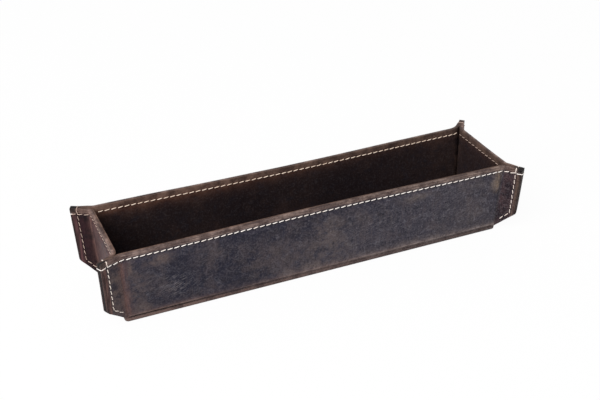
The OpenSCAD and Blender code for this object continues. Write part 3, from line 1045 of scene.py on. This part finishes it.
def outer_leather_finish():
    """Waxed leather, near black where it is flat and brown where it was bent, sewn or rubbed, with painted
    shade in its creases and below the rim seam and painted highlights above the crease and in the right
    folds.
    """
    finish = Leather("waxed_outer_leather")
    rim, foot, fold, wing, strip, dark, end, rub, scuff, bead = (finish.mark(name) for name in ZONES)
    uneven = finish.clouds(finish.solid, 190, 5, 0.7)
    upright = finish.clouds(finish.stretched(finish.blank, (1100, 60, 1)), 1, 4, 0.6)
    wide = finish.clouds(finish.solid, 26, 3)
    mix, times, between, along = finish.mix, finish.times, finish.between, finish.along

    # The flat walls
    dark_ground = along((31, 31, 45), (38, 36, 47))
    warm_ground = along((44, 43, 56), (54, 51, 61))
    marks = between(finish.x, -0.03, 0.05, 0.6, 1.15)
    colour = finish.mottled(dark_ground, warm_ground, (74, 65, 67), (106, 103, 111), marks)
    rain = finish.math("MULTIPLY_ADD", upright, 0.45, times(uneven, 0.55))
    end_wall = mix(between(rain, 0.4, 0.58), (44, 28, 30), (94, 66, 62))
    colour = mix(times(end, 0.85), colour, end_wall)
    rubbed = times(rub, between(uneven, 0.4, 0.56, 0.1, 1.0))
    colour = mix(rubbed, colour, along((95, 81, 77), (108, 97, 93)))
    lines = finish.clouds(finish.stretched(finish.blank, (260, 2600, 1), -0.35), 1, 3)
    scuffed = times(scuff, between(lines, 0.55, 0.66, 0.0, 0.8))
    colour = mix(scuffed, colour, (134, 128, 130))

    # The ears and the corner folds
    ear_tone = between(uneven, 0.4, 0.62)
    ear_dark = along((42, 32, 35), (30, 19, 25))
    ear_pale = along((92, 77, 73), (67, 49, 51))
    end_dark = along((14, 3, 8), (34, 23, 26))
    end_pale = along((34, 12, 19), (70, 52, 52))
    long_ear = mix(ear_tone, ear_dark, ear_pale)
    end_ear = mix(ear_tone, end_dark, end_pale)
    colour = mix(times(wing, 0.9), colour, mix(end, long_ear, end_ear))
    # Paler streaks in the corner folds, with a painted highlight line inside the right folds
    streak = times(fold, between(upright, 0.36, 0.54, 0.25, 1.0))
    streak = times(streak, between(uneven, 0.36, 0.54, 0.3, 1.0))
    colour = mix(streak, colour, along((104, 76, 70), (126, 108, 92)))

    # The foot, rubbed paler and with a painted highlight above the crease, and the bead
    worn_and_painted_light = times(foot, between(wide, 0.36, 0.58, 0.45, 1.0))
    foot_dark = along((92, 72, 67), (106, 92, 89))
    foot_pale = along((120, 99, 93), (144, 129, 125))
    colour = mix(worn_and_painted_light, colour, mix(between(uneven, 0.4, 0.6), foot_dark, foot_pale))
    beaded = along((104, 84, 78), (84, 71, 68))
    beaded = mix(between(uneven, 0.54, 0.4, 0.0, 0.8), beaded, (62, 49, 47))
    colour = mix(times(bead, 0.92), colour, beaded)

    # The strip outside the ear seam, the band over the rim seam, and the painted shade in the creases
    long_strip = along((104, 76, 70), (94, 76, 66))
    end_strip = along((88, 58, 60), (136, 118, 104))
    edge_strip = mix(end, long_strip, end_strip)
    edge_strip = mix(between(upright, 0.58, 0.42), edge_strip, (56, 38, 38))
    colour = mix(strip, colour, edge_strip)
    top = along((146, 124, 116), (146, 125, 115))
    top = mix(times(end, 0.8), top, (164, 136, 125))
    top = mix(times(wing, 0.6), top, (98, 74, 65))
    top = mix(between(uneven, 0.6, 0.42, 0.0, 0.8), top, (70, 54, 50))
    lengthwise = finish.clouds(finish.stretched(finish.blank, (70, 1500, 1)), 1, 3, 0.6)
    top = mix(between(lengthwise, 0.54, 0.42, 0.0, 0.75), top, (62, 46, 43))
    colour = mix(times(rim, 0.92), colour, top)
    # Painted shade in the creases and below the rim seam; the same dark colour on the ear edges and tips
    colour = mix(dark, colour, CREASE_COLOUR)

    rough = between(uneven, 0.3, 0.7, 0.46, 0.64)
    end_wing = times(times(wing, end), 0.85)
    fine = between(finish.x, -FADE_REACH, FADE_REACH, 0.22, 0.36)
    return finish.waxed(colour, rough, times(fine, finish.math("SUBTRACT", 1.0, end_wing)))


def lining_finish():
    """The lining: dark brown, rubbed paler along the rim, with painted shade below the rim seam."""
    finish = Leather("waxed_lining_leather")
    rim, fold, dark, rub = (finish.mark(name) for name in ("rim", "fold", "shade", "rub"))
    uneven = finish.clouds(finish.solid, 190, 5, 0.65)
    mix, times, between, along = finish.mix, finish.times, finish.between, finish.along
    patchy = between(uneven, 0.36, 0.62)
    colour = finish.mottled((28, 20, 22), (38, 28, 28), (52, 38, 35), (58, 45, 42), 0.4)
    folded = times(fold, between(uneven, 0.4, 0.6))
    colour = mix(folded, colour, (86, 66, 58))
    warmth = times(rub, between(finish.x, -FADE_REACH, FADE_REACH, 1.0, 0.25))
    colour = mix(warmth, colour, mix(patchy, (74, 46, 36), (108, 74, 60)))
    top_dark = along((77, 59, 52), (66, 51, 46))
    top_pale = along((121, 96, 85), (104, 83, 73))
    colour = mix(times(rim, 0.9), colour, mix(patchy, top_dark, top_pale))
    # Painted shade below the rim seam; the same dark colour on the ears
    colour = mix(dark, colour, CREASE_COLOUR)
    return finish.waxed(colour, between(uneven, 0.3, 0.7, 0.55, 0.7), 0.12)


def cut_edge():
    """Cut edge of the leather: brown and fibrous along the walls, darker on the ears with painted shade."""
    finish = Finish("cut_leather_edge")
    fibres = finish.clouds(finish.solid, 800, 4, 0.7)
    patches = finish.between(finish.clouds(finish.solid, 120, 3), 0.4, 0.65)
    colour = finish.mix(finish.between(fibres, 0.35, 0.7), (60, 48, 44), (92, 75, 66))
    colour = finish.mix(finish.times(patches, 0.5), colour, (78, 64, 55))
    # Painted shade: the ears' cut edges are darker
    ear = finish.mix(finish.between(fibres, 0.4, 0.7), (38, 31, 30), (76, 61, 54))
    colour = finish.mix(finish.mark("wing"), colour, ear)
    return finish.bumped(colour, rough=0.7, shine=0.3, height=fibres, strength=0.5, depth=0.0003)


def waxed_thread(name, clean, soiled):
    """Sewing thread, a little soiled in places."""
    finish = Finish(name)
    dirt = finish.between(finish.clouds(finish.solid, 260, 3), 0.42, 0.72)
    colour = finish.mix(finish.times(dirt, 0.6), clean, soiled)
    twist = finish.clouds(finish.solid, 3000, 2)
    return finish.bumped(colour, rough=0.7, shine=0.3, height=twist, strength=0.4, depth=0.0002)


def grey_board():
    """Pressed paper board inside the walls and the base."""
    finish = Finish("grey_board")
    fibres = finish.clouds(finish.solid, 700, 5, 0.7)
    colour = finish.mix(finish.between(fibres, 0.35, 0.7), (150, 140, 126), (182, 170, 152))
    return finish.bumped(colour, rough=0.9, shine=0.5, height=fibres, strength=0.3, depth=0.0002)


def dress(obj, *materials):
    """Gives a piece its materials, keeping which faces use which."""
    obj.data.materials.clear()
    for material in materials:
        obj.data.materials.append(material)


# The studio

# The floor's size, how far it lies below the tray, and the share of white it shows where it is seen directly
FLOOR_SIZE = 6
FLOOR_DROP = 0.0002
FLOOR_WHITE = 0.95

# The room's light on the tray
ROOM_LIGHT = 0.5

# The camera, found from the photograph: its turn, height and roll in degrees, how far it stands aside, up
# and back from the middle of the tray's underside, its focal length and the photograph's width in pixels,
# and its sensor's width in millimetres
CAMERA_ANGLES = (-22.896, 29.991, -0.966)
CAMERA_ASIDE = -0.002906
CAMERA_UP = 0.027187
CAMERA_BACK = 0.576878
FOCAL_LENGTH = 1080
PHOTO_WIDTH = 600
SENSOR = 36


def seen_directly(nodes):
    """1 for the camera, for reflections and for light through glass, otherwise 0."""
    path = nodes.add("ShaderNodeLightPath")
    both = nodes.math("MAXIMUM", path.outputs["Is Camera Ray"], path.outputs["Is Glossy Ray"])
    return nodes.math("MAXIMUM", both, path.outputs["Is Transmission Ray"])


def white_floor():
    nodes = Nodes(bpy.data.materials.new("white_floor"))
    paper = nodes.add("ShaderNodeBsdfDiffuse", {"Color": (0.95, 0.95, 0.95, 1)})
    glow = nodes.add("ShaderNodeEmission", {"Color": (1, 1, 1, 1), "Strength": 1.0})
    share = nodes.times(seen_directly(nodes), FLOOR_WHITE)
    both = nodes.add("ShaderNodeMixShader", {0: share, 1: paper.outputs[0], 2: glow.outputs[0]})
    deselect()
    bpy.ops.mesh.primitive_plane_add(size=FLOOR_SIZE, location=(0, 0, -FLOOR_DROP))
    floor = bpy.context.object
    floor.name = "studio_floor"
    floor.data.materials.append(nodes.surface(both.outputs[0]))


def white_room():
    nodes = Nodes(bpy.data.worlds.new("white_room"))
    bpy.context.scene.world = nodes.owner
    level = nodes.between(seen_directly(nodes), 0.0, 1.0, ROOM_LIGHT, 1.0)
    background = nodes.add("ShaderNodeBackground", {"Color": (1, 1, 1, 1), "Strength": level})
    nodes.add("ShaderNodeOutputWorld", {"Surface": background.outputs[0]})


def soft_lamp(name, place_at, aim_at, size, power):
    lamp = bpy.data.lights.new(name, "AREA")
    lamp.size = size
    lamp.energy = power
    obj = bpy.data.objects.new(name, lamp)
    obj.location = place_at
    obj.rotation_euler = (Vector(aim_at) - Vector(place_at)).to_track_quat("-Z", "Y").to_euler()
    bpy.context.collection.objects.link(obj)


def set_camera():
    """The camera where the photograph was taken from."""
    azimuth, elevation, roll = (math.radians(angle) for angle in CAMERA_ANGLES)
    back = Vector((math.sin(azimuth) * math.cos(elevation), -math.cos(azimuth) * math.cos(elevation),
                   math.sin(elevation)))
    level = Vector((math.cos(azimuth), math.sin(azimuth), 0))
    upright = back.cross(level)
    right = math.cos(roll) * level + math.sin(roll) * upright
    up = math.cos(roll) * upright - math.sin(roll) * level
    spot = right * CAMERA_ASIDE + up * CAMERA_UP + back * CAMERA_BACK
    camera = bpy.data.cameras.new("photo_camera")
    camera.sensor_width = SENSOR
    camera.lens = FOCAL_LENGTH * SENSOR / PHOTO_WIDTH
    camera.clip_start = 0.01
    obj = bpy.data.objects.new("photo_camera", camera)
    obj.matrix_world = Matrix.Translation(spot) @ Matrix((right, up, back)).transposed().to_4x4()
    bpy.context.collection.objects.link(obj)
    bpy.context.scene.camera = obj


# Making the tray

set_camera()
white_floor()
white_room()
soft_lamp("window", (-1.0, -0.7, 1.05), (0, 0, 0.02), size=1.2, power=24)
bpy.context.scene.view_settings.view_transform = "Standard"

edge = cut_edge()
cream = waxed_thread("cream_thread", (255, 247, 241), (236, 214, 198))
soiled = waxed_thread("soiled_thread", (240, 226, 216), (188, 164, 150))
warm = waxed_thread("warm_thread", (255, 232, 212), (224, 190, 164))
tan = waxed_thread("tan_thread", (198, 174, 160), (138, 114, 106))

outer = fold_outer_leather()
dress(outer, outer_leather_finish(), edge)
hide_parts("outer_leather")
lining = fold_lining()
dress(lining, lining_finish(), edge)
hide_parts("lining_leather")
for leather in (outer, lining):
    take(leather)
    bpy.ops.object.shade_smooth_by_angle(angle=SMOOTH_ANGLE)
    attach(leather, "root")

seams = []
for wall in range(4):
    outside, inside = sew_rim(wall)
    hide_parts(WALL_NAMES[wall] + "_rim_needle_thread")
    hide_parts(WALL_NAMES[wall] + "_rim_bobbin_thread")
    seams += [(outside, cream if is_long(wall) else tan), (inside, warm if is_long(wall) else tan)]
for wall, side, corner in ((FRONT, -1, "front_left"), (FRONT, 1, "front_right"),
                           (BACK, 1, "back_left"), (BACK, -1, "back_right")):
    outside, inside = sew_ear(wall, side, corner)
    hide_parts(corner + "_ear_needle_thread")
    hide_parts(corner + "_ear_bobbin_thread")
    seams += [(outside, soiled if wall == FRONT else tan), (inside, tan)]
for seam, thread in seams:
    dress(seam, thread)
    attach(seam, "root")

board = grey_board()
for name in ("base_board", "front_wall_board", "right_wall_board", "back_wall_board", "left_wall_board"):
    dress(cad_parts[name], board)
